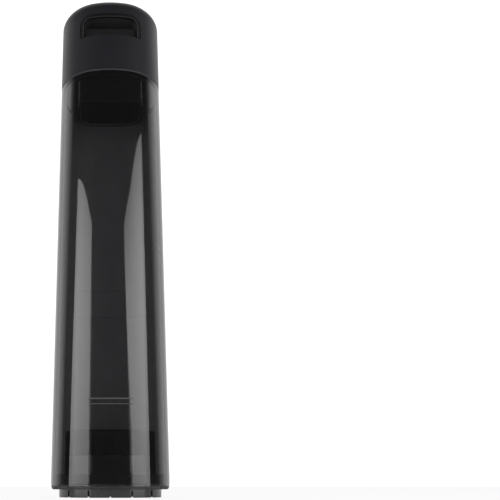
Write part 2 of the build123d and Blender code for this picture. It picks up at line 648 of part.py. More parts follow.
# Neck collar: plate that closes the vessel, spigot and ears inside its wall, filling neck and spring posts
with BuildPart() as neck_collar:
    with BuildSketch(Plane.XY.offset(PLATE_Z)):
        add(vessel_section(COLLAR_INSET))
    extrude(amount=COLLAR_PLATE)
    with BuildSketch(Plane.XY.offset(SEAM_Z - SPIGOT_DEPTH)):
        add(vessel_section(LAP_OUTER))
        add(vessel_section(LAP_INNER), mode=Mode.SUBTRACT)
    extrude(amount=PLATE_Z - SEAM_Z + SPIGOT_DEPTH)
    add(collar_ears())
    with BuildSketch(Plane.XY.offset(NECK_Z)):
        add(neck_section(0))
        add(neck_section(NECK_WALL), mode=Mode.SUBTRACT)
    extrude(amount=PLATE_Z - NECK_Z)
    with BuildSketch(Plane.XY.offset(PLATE_Z)):
        add(mouth_section(0))
    extrude(amount=COLLAR_PLATE, mode=Mode.SUBTRACT)
    with BuildSketch(Plane.XY.offset(PLATE_TOP_Z)):
        with Locations((BUTTON_SPRING_X, PAD_MID_Y), (-BUTTON_SPRING_X, PAD_MID_Y)):
            Circle(POST_RADIUS)
    extrude(amount=POST_HEIGHT)
neck_collar.part.label = "neck_collar"
export_step(neck_collar.part, "parts/neck_collar.step")

# Collar gasket between the collar plate and the vessel's upper rim
with BuildPart() as collar_gasket:
    with BuildSketch(Plane.XY.offset(SEAM_Z)):
        add(vessel_section(COLLAR_INSET))
        add(vessel_section(LAP_OUTER - FIT), mode=Mode.SUBTRACT)
    extrude(amount=COLLAR_GASKET)
collar_gasket.part.label = "collar_gasket"
export_step(collar_gasket.part, "parts/collar_gasket.step")

# Springs under the release button
with BuildPart() as button_spring_left:
    add(coil(BUTTON_SPRING_RADIUS, BUTTON_SPRING_WIRE, PLATE_TOP_Z, BUTTON_FOOT_Z,
             BUTTON_SPRING_TURNS, -BUTTON_SPRING_X, PAD_MID_Y))
button_spring_left.part.label = "button_spring_left"
export_step(button_spring_left.part, "parts/button_spring_left.step")

with BuildPart() as button_spring_right:
    add(coil(BUTTON_SPRING_RADIUS, BUTTON_SPRING_WIRE, PLATE_TOP_Z, BUTTON_FOOT_Z,
             BUTTON_SPRING_TURNS, BUTTON_SPRING_X, PAD_MID_Y))
button_spring_right.part.label = "button_spring_right"
export_step(button_spring_right.part, "parts/button_spring_right.step")

# Filling lid: plate flush with the cap's top, and the hinge barrel between the cap's two ears
with BuildPart() as fill_lid:
    with BuildSketch(Plane.XY.offset(LID_FOOT_Z)):
        with Locations((0, (LID_FRONT_Y + LID_BACK_Y) / 2)):
            RectangleRounded(2 * LID_HALF, LID_BACK_Y - LID_FRONT_Y, LID_ROUND)
        with Locations((0, (LID_BACK_Y - LID_ROUND + HINGE_Y) / 2)):
            Rectangle(2 * BARREL_HALF, HINGE_Y - LID_BACK_Y + LID_ROUND)
    extrude(amount=LID_THICK)
    with BuildSketch(Plane.YZ):
        with Locations((HINGE_Y, HINGE_Z)):
            Circle(BARREL_RADIUS)
    extrude(amount=BARREL_HALF, both=True)
    with BuildSketch(Plane.YZ):
        with Locations((HINGE_Y, HINGE_Z)):
            Circle(PIN_RADIUS + PIN_FIT)
    extrude(amount=BARREL_HALF, both=True, mode=Mode.SUBTRACT)
    with BuildSketch(Plane.XY.offset(TOP_Z - VENT_WELL)):
        with Locations((0, MOUTH_Y)):
            Circle(VENT_WELL_RADIUS)
    extrude(amount=VENT_WELL, mode=Mode.SUBTRACT)
    with BuildSketch(Plane.XY.offset(LID_FOOT_Z)):
        with Locations((0, MOUTH_Y)):
            Circle(VENT_STEM_RADIUS + SLIP)
            with PolarLocations((VENT_WELL_RADIUS + VENT_STEM_RADIUS) / 2 + SLIP, BREATHERS):
                Circle(BREATHER_RADIUS)
    extrude(amount=LID_THICK, mode=Mode.SUBTRACT)
fill_lid.part.label = "fill_lid"
export_step(fill_lid.part, "parts/fill_lid.step")

# Lid seal: soft ring under the lid that plugs the mouth
with BuildPart() as lid_seal:
    with BuildSketch(Plane.XY.offset(LID_FOOT_Z - SEAL_DEPTH)):
        add(mouth_section(-SEAL_GAP))
        add(mouth_section(-SEAL_GAP - SEAL_WIDTH), mode=Mode.SUBTRACT)
    extrude(amount=SEAL_DEPTH)
lid_seal.part.label = "lid_seal"
export_step(lid_seal.part, "parts/lid_seal.step")

# Hinge pin of the lid
with BuildPart() as lid_pin:
    with BuildSketch(Plane.YZ):
        with Locations((HINGE_Y, HINGE_Z)):
            Circle(PIN_RADIUS)
    extrude(amount=BARREL_HALF + RUN + EAR_WIDTH, both=True)
lid_pin.part.label = "lid_pin"
export_step(lid_pin.part, "parts/lid_pin.step")

# Umbrella valve that lets air in through the lid as the water is drawn off
with BuildPart() as vent_valve:
    with BuildSketch(Plane.XY.offset(LID_FOOT_Z - VENT_HEAD)):
        with Locations((0, MOUTH_Y)):
            Circle(VENT_HEAD_RADIUS)
    extrude(amount=VENT_HEAD)
    with BuildSketch(Plane.XY.offset(LID_FOOT_Z)):
        with Locations((0, MOUTH_Y)):
            Circle(VENT_STEM_RADIUS)
    extrude(amount=LID_THICK - VENT_WELL)
    with BuildSketch(Plane.XY.offset(TOP_Z - VENT_WELL)):
        with Locations((0, MOUTH_Y)):
            Circle(VENT_BUTTON_RADIUS)
    extrude(amount=VENT_BUTTON)
vent_valve.part.label = "vent_valve"
export_step(vent_valve.part, "parts/vent_valve.step")

# Bottom cover: skirt, floor and half-moon platform with a ribbed channel along its front
with BuildPart() as bottom_cover:
    with BuildSketch():
        add(vessel_section(SKIRT_INSET))
    extrude(amount=COVER_TOP_Z)
    with BuildSketch(Plane.XZ):
        with BuildLine():
            Polyline(
                (SKIRT_DRAFT - SKIRT_HALF, 0),
                (SKIRT_HALF - SKIRT_DRAFT, 0),
                (SKIRT_HALF, RIM_Z),
                (SKIRT_HALF, COVER_TOP_Z),
                (-SKIRT_HALF, COVER_TOP_Z),
                (-SKIRT_HALF, RIM_Z),
                close=True,
            )
        make_face()
    extrude(amount=FRAME_REACH + FRONT_RISE, both=True, mode=Mode.INTERSECT)
    with BuildSketch(Plane.XY.offset(GASKET_TOP_Z)):
        add(vessel_section(FLANGE_INSET))
    extrude(amount=FLANGE_THICK)
    with BuildSketch(Plane.XY.offset(FLOOR_TOP_Z)):
        add(vessel_section(SKIRT_INNER))
    extrude(amount=COVER_TOP_Z - FLOOR_TOP_Z, mode=Mode.SUBTRACT)
    with BuildSketch():
        add(vessel_section(SKIRT_INNER))
    extrude(amount=PLATFORM_Z, mode=Mode.SUBTRACT)
    with BuildSketch(Plane.XY.offset(PLATFORM_Z)):
        add(vessel_section(SKIRT_INNER))
        add(Pos(0, CHANNEL) * vessel_section(SKIRT_INNER), mode=Mode.SUBTRACT)
        for rib_x in CHANNEL_RIBS:
            with Locations((rib_x, (CREST_Y + SPLIT_Y) / 2), (-rib_x, (CREST_Y + SPLIT_Y) / 2)):
                Rectangle(RIB_WALL, FRONT_RISE, mode=Mode.SUBTRACT)
    extrude(amount=FLOOR_Z - PLATFORM_Z, mode=Mode.SUBTRACT)
    with BuildSketch():
        for slit_x in CHANNEL_RIBS:
            with Locations((slit_x, (CREST_Y + SPLIT_Y) / 2), (-slit_x, (CREST_Y + SPLIT_Y) / 2)):
                Rectangle(SLIT_WIDTH, FRONT_RISE)
        add(vessel_section(SKIRT_INNER), mode=Mode.SUBTRACT)
    extrude(amount=SLIT_HEIGHT, mode=Mode.SUBTRACT)
    with BuildSketch(Plane.XY.offset(PLATFORM_Z)):
        with Locations((0, VALVE_Y)):
            Circle(BUSH_FLANGE_RADIUS + BUSH_FLANGE_GAP)
    extrude(amount=BUSH_FOOT_Z + BUSH_FLANGE - PLATFORM_Z, mode=Mode.SUBTRACT)
    with BuildSketch():
        with Locations((0, VALVE_Y)):
            Circle(BUSH_RADIUS + FIT)
    extrude(amount=FLOOR_TOP_Z, mode=Mode.SUBTRACT)
bottom_cover.part.label = "bottom_cover"
export_step(bottom_cover.part, "parts/bottom_cover.step")

# End gasket: soft ring that fills the vessel's rounded lower corner round the cover
with BuildPart() as end_gasket:
    add(tucked(WALL + FIT, GASKET_TOP_Z))
    with BuildSketch(Plane.XY.offset(RIM_Z)):
        add(vessel_section(SKIRT_INSET - SLIP))
    extrude(amount=GASKET_TOP_Z - RIM_Z, mode=Mode.SUBTRACT)
end_gasket.part.label = "end_gasket"
export_step(end_gasket.part, "parts/end_gasket.step")

# Valve bush: flanged sleeve through the cover's floor, grooved for its seal ring
ring_z = FLOOR_Z + FLOOR_THICK / 3
with BuildPart() as valve_bush:
    with BuildSketch(Plane.XY.offset(BUSH_FOOT_Z)):
        with Locations((0, VALVE_Y)):
            Circle(BUSH_FLANGE_RADIUS)
    extrude(amount=BUSH_FLANGE)
    fillet(valve_bush.edges().group_by(Axis.Z)[0], radius=BUSH_FLANGE / 3)
    with BuildSketch(Plane.XY.offset(BUSH_FOOT_Z)):
        with Locations((0, VALVE_Y)):
            Circle(BUSH_RADIUS)
    extrude(amount=BUSH_TOP_Z - BUSH_FOOT_Z)
    with BuildSketch(Plane.XY.offset(BUSH_FOOT_Z)):
        with Locations((0, VALVE_Y)):
            Circle(BUSH_BORE_RADIUS)
    extrude(amount=BUSH_TOP_Z - BUSH_FOOT_Z, mode=Mode.SUBTRACT)
    with BuildSketch(Plane.XY.offset(ring_z - RING_RADIUS - SLIP)):
        with Locations((0, VALVE_Y)):
            Circle(BUSH_RADIUS)
            Circle(BUSH_RADIUS - GROOVE_DEPTH, mode=Mode.SUBTRACT)
    extrude(amount=2 * (RING_RADIUS + SLIP), mode=Mode.SUBTRACT)
valve_bush.part.label = "valve_bush"
export_step(valve_bush.part, "parts/valve_bush.step")

# Seal ring in the bush's groove
with BuildPart() as bush_ring:
    with BuildSketch(Plane.XZ.offset(-VALVE_Y)):
        with Locations((BUSH_RADIUS - GROOVE_DEPTH + RING_RADIUS, ring_z)):
            Circle(RING_RADIUS)
    revolve(axis=Axis((0, VALVE_Y, 0), (0, 0, 1)))
bush_ring.part.label = "bush_ring"
export_step(bush_ring.part, "parts/bush_ring.step")

# Nut that clamps the bush to the cover's floor
with BuildPart() as bush_nut:
    with BuildSketch(Plane.XY.offset(FLOOR_TOP_Z)):
        with Locations((0, VALVE_Y)):
            RegularPolygon(NUT_RADIUS, 6)
    extrude(amount=NUT_HEIGHT)
    chamfer(bush_nut.edges().group_by(Axis.Z)[-1], length=NUT_BEVEL)
    with BuildSketch(Plane.XY.offset(FLOOR_TOP_Z)):
        with Locations((0, VALVE_Y)):
            Circle(BUSH_RADIUS + SLIP)
    extrude(amount=NUT_HEIGHT, mode=Mode.SUBTRACT)
bush_nut.part.label = "bush_nut"
export_step(bush_nut.part, "parts/bush_nut.step")

# Valve poppet: cross-shaped stem in the bush, head above it and a nub that guides the spring
with BuildPart() as valve_poppet:
    with BuildSketch(Plane.XY.offset(STEM_FOOT_Z)):
        with Locations((0, VALVE_Y)):
            Rectangle(2 * STEM_RADIUS, STEM_ARM)
            Rectangle(STEM_ARM, 2 * STEM_RADIUS)
    extrude(amount=HEAD_Z - STEM_FOOT_Z)
    with BuildSketch(Plane.XY.offset(HEAD_Z)):
        with Locations((0, VALVE_Y)):
            Circle(HEAD_RADIUS)
    extrude(amount=HEAD_THICK)
    with BuildSketch(Plane.XY.offset(HEAD_TOP_Z)):
        with Locations((0, VALVE_Y)):
            Circle(NUB_RADIUS)
    extrude(amount=NUB_HEIGHT)
valve_poppet.part.label = "valve_poppet"
export_step(valve_poppet.part, "parts/valve_poppet.step")

# Seal washer under the poppet's head
with BuildPart() as poppet_seal:
    with BuildSketch(Plane.XY.offset(BUSH_TOP_Z)):
        with Locations((0, VALVE_Y)):
            Circle(HEAD_RADIUS)
            Circle(STEM_RADIUS + FIT, mode=Mode.SUBTRACT)
    extrude(amount=HEAD_SEAL)
poppet_seal.part.label = "poppet_seal"
export_step(poppet_seal.part, "parts/poppet_seal.step")

# Spring that holds the valve shut
with BuildPart() as valve_spring:
    add(coil(VALVE_SPRING_RADIUS, VALVE_SPRING_WIRE, HEAD_TOP_Z, VALVE_SPRING_TOP_Z,
             VALVE_SPRING_TURNS, 0, VALVE_Y))
valve_spring.part.label = "valve_spring"
export_step(valve_spring.part, "parts/valve_spring.step")

# Strainer basket: a wide box that stands inside the cover's wall, over the valve, with slots front and back
# and a boss under its roof for the spring
with BuildPart() as strainer_basket:
    with BuildSketch(Plane.XY.offset(FLOOR_TOP_Z)):
        add(vessel_section(BASKET_INSET))
    extrude(amount=BASKET_TOP_Z - FLOOR_TOP_Z)
    fillet(strainer_basket.edges().group_by(Axis.Z)[-1], radius=BASKET_ROUND)
    with BuildSketch(Plane.XY.offset(FLOOR_TOP_Z)):
        add(vessel_section(BASKET_INSET + BASKET_WALL))
    extrude(amount=BASKET_TOP_Z - BASKET_ROOF - FLOOR_TOP_Z, mode=Mode.SUBTRACT)
    with BuildSketch(Plane.XY.offset(VALVE_SPRING_TOP_Z)):
        with Locations((0, VALVE_Y)):
            Circle(BASKET_BOSS_RADIUS)
    extrude(amount=BASKET_TOP_Z - BASKET_ROOF - VALVE_SPRING_TOP_Z)
    with Locations((0, SPLIT_Y, BASKET_SLOT_Z)):
        with GridLocations(BASKET_SLOT_PITCH, BASKET_SLOT_PITCH, BASKET_SLOTS, 1):
            Box(BASKET_SLOT_WIDTH, 2 * HALF_WIDTH, BASKET_SLOT_HEIGHT, mode=Mode.SUBTRACT)
strainer_basket.part.label = "strainer_basket"
export_step(strainer_basket.part, "parts/strainer_basket.step")
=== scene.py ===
import json
import math

import bmesh
import bpy
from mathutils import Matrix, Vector


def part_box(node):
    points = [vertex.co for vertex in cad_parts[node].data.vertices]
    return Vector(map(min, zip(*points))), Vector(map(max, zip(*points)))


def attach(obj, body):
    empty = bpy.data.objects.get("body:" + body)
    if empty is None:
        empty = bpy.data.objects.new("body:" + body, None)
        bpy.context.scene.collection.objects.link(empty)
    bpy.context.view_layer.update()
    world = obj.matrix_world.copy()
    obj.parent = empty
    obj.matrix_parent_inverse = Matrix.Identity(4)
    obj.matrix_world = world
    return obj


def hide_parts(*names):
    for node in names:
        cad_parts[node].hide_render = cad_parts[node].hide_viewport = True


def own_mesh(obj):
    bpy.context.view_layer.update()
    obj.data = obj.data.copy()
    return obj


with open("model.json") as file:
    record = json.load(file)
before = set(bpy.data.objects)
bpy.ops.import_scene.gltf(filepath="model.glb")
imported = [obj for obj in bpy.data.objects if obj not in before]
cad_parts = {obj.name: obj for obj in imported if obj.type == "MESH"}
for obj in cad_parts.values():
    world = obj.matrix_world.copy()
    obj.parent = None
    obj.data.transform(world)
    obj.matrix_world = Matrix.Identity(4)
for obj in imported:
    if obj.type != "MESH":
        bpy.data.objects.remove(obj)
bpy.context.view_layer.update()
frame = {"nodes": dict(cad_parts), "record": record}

# Tank back: the opaque half of the vessel, moulded in satin grey plastic with stiffening beads inside.
# It is welded to the clear front along the widest line, and its lap flanges show through the clear flanks,
# where they are painted pale: painted light for the bright light that the clear flanks let through and
# mirror.
# Painted light: the pale colour that stands for the bright light at the clear flanks.
PAINTED_FLANK_LIGHT = (0.86, 0.86, 0.88)
LAND_FRONT = -0.0022
LAND_OUT = 0.0335
LAND_TAPER = 0.0076
# Where the painted light on the flanges thins out towards their front edge.
PAINTED_LIGHT_THIN_AT = -0.021
PAINTED_LIGHT_FULL_AT = -0.011
PAINTED_LIGHT_THIN = 0.2
JOIN_WITHIN = 0.000002
SHARP_ANGLE = math.radians(25)
FLOW_SCALE = 38.0
DARKEST_FLOW = 0.8
PALEST_FLOW = 1.2
PLASTIC_IOR = 1.49


class Wire:
    """One output in a node tree. Arithmetic on wires adds Math nodes, and make adds any other node."""

    def __init__(self, tree, output=None):
        self.tree = tree
        self.output = output

    def make(self, kind, settings=None, sockets=None, output=0):
        node = self.tree.nodes.new("ShaderNode" + kind)
        for name, value in (settings or {}).items():
            setattr(node, name, value)
        for name, value in (sockets or {}).items():
            if isinstance(value, Wire):
                self.tree.links.new(value.output, node.inputs[name])
            else:
                node.inputs[name].default_value = value
        return Wire(self.tree, node.outputs[output] if node.outputs else None)

    def __add__(self, other):
        return self.make("Math", {"operation": "ADD"}, {0: self, 1: other})

    def __sub__(self, other):
        return self.make("Math", {"operation": "SUBTRACT"}, {0: self, 1: other})

    def __rsub__(self, other):
        return self.make("Math", {"operation": "SUBTRACT"}, {0: other, 1: self})

    def __mul__(self, other):
        return self.make("Math", {"operation": "MULTIPLY"}, {0: self, 1: other})

    def __gt__(self, other):
        return self.make("Math", {"operation": "GREATER_THAN"}, {0: self, 1: other})

    __radd__ = __add__
    __rmul__ = __mul__


def blank(block):
    """Empties the node tree of a material, lamp or world and gives the wire that its new nodes start from."""
    block.use_nodes = True
    block.node_tree.nodes.clear()
    return Wire(block.node_tree)


def along(axis, place):
    """A place's measure along the axis X, Y or Z."""
    return place.make("SeparateXYZ", {}, {"Vector": place}, axis)


def sideways(place):
    """How far a place is from the middle, to either side."""
    return place.make("Math", {"operation": "ABSOLUTE"}, {0: along("X", place)})


def moulded(name, colour, roughness, grain_size, grain, gloss=0.5, zone=None, zone_colour=None, bloom=0.0):
    """Moulded plastic with a faint flow mottle and a spark-eroded grain whose size is in metres.
    A zone function may pick out, from a wire that holds the place, a part in another colour,
    and bloom is the pale edge of a matt surface seen at a low angle."""
    material = bpy.data.materials.new(name)
    start = blank(material)
    place = start.make("TexCoord", output="Object")
    flow = start.make("TexNoise", {}, {
        "Vector": place, "Scale": FLOW_SCALE, "Detail": 5.0, "Roughness": 0.62,
    }, "Fac")
    pits = start.make("TexNoise", {}, {"Vector": place, "Scale": 1 / grain_size, "Detail": 1.5}, "Fac")
    tones = []
    for shade in (colour, zone_colour or colour):
        tones.append(start.make("Mix", {"data_type": "RGBA"}, {
            "Factor": flow * 0.8 + pits * 0.2,
            "A": (*[DARKEST_FLOW * part for part in shade], 1),
            "B": (*[PALEST_FLOW * part for part in shade], 1),
        }, 2))
    tone = tones[0]
    if zone:
        tone = start.make("Mix", {"data_type": "RGBA"}, {
            "Factor": zone(place), "A": tones[0], "B": tones[1],
        }, 2)
    surface = start.make("BsdfPrincipled", {}, {
        "Base Color": tone,
        "Roughness": flow * 0.1 + pits * 0.06 + (roughness - 0.08),
        "Normal": start.make("Bump", {}, {"Strength": grain, "Distance": grain_size / 6, "Height": pits}),
        "IOR": PLASTIC_IOR,
        "Specular IOR Level": gloss,
        "Sheen Weight": bloom,
        "Sheen Roughness": 0.3,
    })
    start.make("OutputMaterial", {}, {"Surface": surface})
    return material


def dress(material, *names):
    """Gives the named pieces one material all over."""
    for name in names:
        node = frame["nodes"][name]
        node.data.materials.clear()
        node.data.materials.append(material)


def even_shading(name):
    """Lets the surface run on smoothly over the lines where one arc of the section meets the next."""
    node = frame["nodes"][name]
    node.modifiers.new("joined", "WELD").merge_threshold = JOIN_WITHIN
    node.modifiers.new("edges", "EDGE_SPLIT").split_angle = SHARP_ANGLE
    node.modifiers.new("even", "WEIGHTED_NORMAL").mode = "FACE_AREA"


def flank_painted_light(place):
    """Painted light on the flanges forward of the widest line, pale where the clear flanks show bright, less
    so towards their front edge.
    """
    depth = along("Y", place)
    out = sideways(place) + along("Z", place) * LAND_TAPER
    painted_light = place.make("MapRange", {}, {
        "Value": depth, "From Min": PAINTED_LIGHT_THIN_AT, "From Max": PAINTED_LIGHT_FULL_AT,
        "To Min": PAINTED_LIGHT_THIN, "To Max": 1.0,
    })
    return painted_light * (LAND_FRONT - depth > 0) * (out > LAND_OUT)


# Satin grey all over, with painted light on the flanges where they show at the clear flanks.
dress(moulded("satin_tank_grey", (0.215, 0.215, 0.232), 0.36, 0.0005, 0.06,
              zone=flank_painted_light, zone_colour=PAINTED_FLANK_LIGHT), "tank_back")
even_shading("tank_back")

# Rear frame: saddle and two hollow legs, moulded in a darker grey with a coarser texture.
# It is glued to the tank back and screwed to the cap.
FLAT_ANGLE = math.radians(0.5)
EDGE_ANGLE = math.radians(35)
EDGE_SEGMENTS = 3


def round_edges(radius, *names):
    """The small radius that a mould leaves on every edge."""
    for name in names:
        node = frame["nodes"][name]
        node.modifiers.new("joined", "WELD").merge_threshold = JOIN_WITHIN
        flat = node.modifiers.new("flat", "DECIMATE")
        flat.decimate_type = "DISSOLVE"
        flat.angle_limit = FLAT_ANGLE
        bevel = node.modifiers.new("edges", "BEVEL")
        bevel.width = radius
        bevel.segments = EDGE_SEGMENTS
        bevel.angle_limit = EDGE_ANGLE
        node.modifiers.new("even", "WEIGHTED_NORMAL").mode = "FACE_AREA"


round_edges(0.0003, "rear_frame")
dress(moulded("textured_frame_grey", (0.075, 0.075, 0.08), 0.48, 0.0007, 0.2), "rear_frame")

# Clear front shell: smoke-tinted clear plastic, polished in the mould, with its lower rim trimmed satin.
# Little light comes through along the wall, so the flanks close up and mirror what is behind them.
RIM_HEIGHT = 0.0021
RIM_ROUGHNESS = 0.6
smoke = bpy.data.materials.new("smoked_clear")
start = blank(smoke)
place = start.make("TexCoord", output="Object")
stretched = start.make("Mapping", {}, {"Vector": place, "Scale": (1.0, 1.0, 0.12)})
sink = start.make("TexNoise", {}, {"Vector": stretched, "Scale": 40.0, "Detail": 1.0}, "Fac")
wipes = start.make("TexNoise", {}, {"Vector": stretched, "Scale": 700.0, "Detail": 3.0}, "Fac")
edge = start.make("LayerWeight", {}, {"Blend": 0.35}, "Facing")
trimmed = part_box("front_shell")[0][2] + RIM_HEIGHT - along("Z", place) > 0
surface = start.make("BsdfPrincipled", {}, {
    "Base Color": (0.003, 0.003, 0.0034, 1),
    "Roughness": wipes * 0.04 + trimmed * RIM_ROUGHNESS,
    "Normal": start.make("Bump", {}, {"Strength": 0.01, "Distance": 0.0006, "Height": sink}),
    "Alpha": edge * 0.67 + 0.31,
    "IOR": 1.8,
    "Specular IOR Level": 0.85,
})
start.make("OutputMaterial", {}, {"Surface": surface})
dress(smoke, "front_shell")
even_shading("front_shell")

# Level mark: two plain lines in pale ink, pad-printed on the front of the clear shell.
# The upper line is the broad one.
MARK_HALF = 0.0155
MARK_STEPS = 24
MARK_LINES = ((0.0634, 0.0009), (0.0600, 0.0005))
INK_HEIGHT = 0.00006
INK_DEPTH = 0.0001
IN_FRONT = -0.1


def close_strip(mesh, rings):
    """Skins a row of four-cornered rings and closes both ends."""
    for first, second in zip(rings, rings[1:]):
        for corner in range(4):
            following = (corner + 1) % 4
            mesh.faces.new((first[corner], first[following], second[following], second[corner]))
    mesh.faces.new(reversed(rings[0]))
    mesh.faces.new(rings[-1])


def finished_piece(name, mesh, material):
    """Turns finished strips into a piece of its own."""
    bmesh.ops.recalc_face_normals(mesh, faces=mesh.faces)
    piece = bpy.data.objects.new(name, bpy.data.meshes.new(name))
    mesh.to_mesh(piece.data)
    mesh.free()
    bpy.context.scene.collection.objects.link(piece)
    piece.data.materials.append(material)
    return piece


shell = frame["nodes"]["front_shell"]
ink_mesh = bmesh.new()
for foot, breadth in MARK_LINES:
    rings = []
    for step in range(MARK_STEPS + 1):
        x = MARK_HALF * (2 * step / MARK_STEPS - 1)
        ring = []
        for height, lift in ((foot, INK_HEIGHT), (foot + breadth, INK_HEIGHT),
                             (foot + breadth, -INK_DEPTH), (foot, -INK_DEPTH)):
            seen_from = shell.matrix_world.inverted() @ Vector((x, IN_FRONT, height))
            spot, out = shell.ray_cast(seen_from, Vector((0, 1, 0)))[1:3]
            ring.append(ink_mesh.verts.new(shell.matrix_world @ (spot + lift * out)))
        rings.append(ring)
    close_strip(ink_mesh, rings)
mark = finished_piece("level_mark", ink_mesh, moulded("pale_ink", (0.09, 0.09, 0.094), 0.5, 0.0003, 0.1))
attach(mark, "tank")

# Bottom cover and valve bush: skirt, floor and half-moon platform moulded in one, in smooth dark grey.
# The cover is pushed into the vessel's lower opening, and the bush is held in its floor by a nut.
dress(moulded("smooth_cover_grey", (0.014, 0.014, 0.015), 0.11, 0.0006, 0.02, gloss=1.0), "bottom_cover")
round_edges(0.0003, "bottom_cover")
dress(moulded("smooth_bush_grey", (0.045, 0.045, 0.047), 0.3, 0.0006, 0.04), "valve_bush")

# Gaskets, seal rings and the vent valve: black rubber with a dull, slightly dusty skin.
# Each is pressed between the two pieces that it seals.
dress(moulded("dull_rubber", (0.012, 0.012, 0.0125), 0.66, 0.00035, 0.25),
      "end_gasket", "collar_gasket", "bush_ring", "poppet_seal", "lid_seal", "vent_valve")

# Valve poppet: four-armed stem and head in pale engineering plastic.
# It slides in the bush and is lifted from below.
dress(moulded("slick_poppet_grey", (0.12, 0.12, 0.122), 0.32, 0.0006, 0.05), "valve_poppet")

# Strainer basket and bush nut: black plastic, seen through the clear front as the darkest forms in the tank.
# The nut holds the bush, and the basket stands over it inside the cover's wall.
dress(moulded("inner_black", (0.003, 0.003, 0.0033), 0.5, 0.0006, 0.08, gloss=0.25),
      "strainer_basket", "bush_nut")

# Strainer gauze: two strips of fine woven nylon, one in front and one behind.
# They are welded to the inside of the basket's wall, over its slots.
GAUZE_HALF = 0.027
GAUZE_STEPS = 36
GAUZE_LOW = 0.0275
GAUZE_HIGH = 0.0376
GAUZE_GAP = 0.0001
GAUZE_THICK = 0.0003
WALL_ABOVE_SLOTS = 0.0395
FRONT_REACH = 0.012
BACK_REACH = 0.0065
basket = frame["nodes"]["strainer_basket"]
low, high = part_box("strainer_basket")
gauze_mesh = bmesh.new()
for facing, inside_y in ((-1, low[1] + FRONT_REACH), (1, high[1] - BACK_REACH)):
    rings = []
    for step in range(GAUZE_STEPS + 1):
        x = GAUZE_HALF * (2 * step / GAUZE_STEPS - 1)
        inside = basket.matrix_world.inverted() @ Vector((x, inside_y, WALL_ABOVE_SLOTS))
        wall = basket.matrix_world @ basket.ray_cast(inside, Vector((0, facing, 0)))[1]
        near = wall.y - facing * GAUZE_GAP
        far = near - facing * GAUZE_THICK
        corners = ((near, GAUZE_LOW), (near, GAUZE_HIGH), (far, GAUZE_HIGH), (far, GAUZE_LOW))
        rings.append([gauze_mesh.verts.new((x, y, z)) for y, z in corners])
    close_strip(gauze_mesh, rings)
gauze = finished_piece("strainer_gauze", gauze_mesh,
                       moulded("woven_gauze_black", (0.0055, 0.0055, 0.006), 0.6, 0.0002, 0.4))
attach(gauze, "tank")

# Neck collar: the black plate that closes the vessel, with the filling neck hanging from it.
# Its ears are welded inside the flanks and carry the same painted light as the flanges that they meet, and
# the neck's edges carry painted highlights.
EAR_OUT = 0.0325
EAR_TOP = 0.3255
EAR_SLANT = 1.428
EAR_EDGE = 0.3306
NECK_SIDES = (0.0251, 0.0265)
NECK_SIDES_BEHIND = -0.02
NECK_SIDES_TOP = 0.3235
NECK_RIM = (0.30404, 0.3046)
NECK_RIM_OUT = 0.03
NECK_RIM_FRONT = -0.0272
# Strength of the painted highlight on the neck's side and rim edges.
NECK_PAINTED_HIGHLIGHT = 0.3


def between(value, limits):
    """1 where the value is inside the two limits, 0 elsewhere."""
    return (value > limits[0]) * (limits[1] - value > 0)


def larger(first, second):
    """The larger of a wire and another wire or a number."""
    return first.make("Math", {"operation": "MAXIMUM"}, {0: first, 1: second})


def collar_painted_light(place):
    """Painted light on the ears, stopping just short of their slanted edge so that a thin black line stays
    along it, and painted highlights on the neck's side and rim edges, a little paler.
    """
    out = sideways(place)
    depth = along("Y", place)
    height = along("Z", place)
    ears = (out > EAR_OUT) * (EAR_TOP - height > 0) * (height - depth * EAR_SLANT > EAR_EDGE)
    sides = between(out, NECK_SIDES) * (NECK_SIDES_BEHIND - depth > 0) * (NECK_SIDES_TOP - height > 0)
    rim = between(height, NECK_RIM) * (NECK_RIM_OUT - out > 0) * (depth > NECK_RIM_FRONT)
    return ears + larger(sides, rim) * NECK_PAINTED_HIGHLIGHT


# Black all over, with painted light on the ears and painted highlights on the neck's edges.
dress(moulded("collar_black", (0.005, 0.005, 0.0055), 0.3, 0.0006, 0.05,
              zone=collar_painted_light, zone_colour=PAINTED_FLANK_LIGHT), "neck_collar")
round_edges(0.0005, "neck_collar")

# Springs, hinge pin and cap screws: drawn steel wire, bright, with a finely mottled skin.
# The springs stand loose between their seats; each is drawn as a fixed copy on the tank in place of its part,
# and does not shorten with its joint. The pin is pressed in.
steel = bpy.data.materials.new("drawn_steel")
start = blank(steel)
place = start.make("TexCoord", output="Object")
mottle = start.make("TexNoise", {}, {"Vector": place, "Scale": 900.0, "Detail": 2.0}, "Fac")
surface = start.make("BsdfPrincipled", {}, {
    "Base Color": (0.56, 0.56, 0.58, 1),
    "Metallic": 1.0,
    "Roughness": mottle * 0.22 + 0.18,
    "Normal": start.make("Bump", {}, {"Strength": 0.1, "Distance": 0.0001, "Height": mottle}),
})
start.make("OutputMaterial", {}, {"Surface": surface})
dress(steel, "lid_pin", "cap_screws")
for joint in frame["record"]["behaviour"]["joints"]:
    for seat in joint.get("deforming_nodes", []):
        node = frame["nodes"][seat["node"]]
        spring = bpy.data.objects.new(seat["node"] + "_coil", node.data.copy())
        spring.matrix_world = node.matrix_world.copy()
        bpy.context.scene.collection.objects.link(spring)
        spring.data.materials.clear()
        spring.data.materials.append(steel)
        low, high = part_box(seat["node"])
        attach(spring, "tank")
        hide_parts(seat["node"])
        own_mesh(spring)

# Top cap and filling lid: near-black plastic with an even spark-eroded grain.
# The cap is pushed over the collar, and the lid is hinged in its top.
# Top of the painted highlight along the cap's lower edge.
CAP_FOOT_TOP = 0.3278


def cap_foot_highlight(place):
    """Painted highlight along the cap's lower edge, in a paler grey."""
    return CAP_FOOT_TOP - along("Z", place) > 0


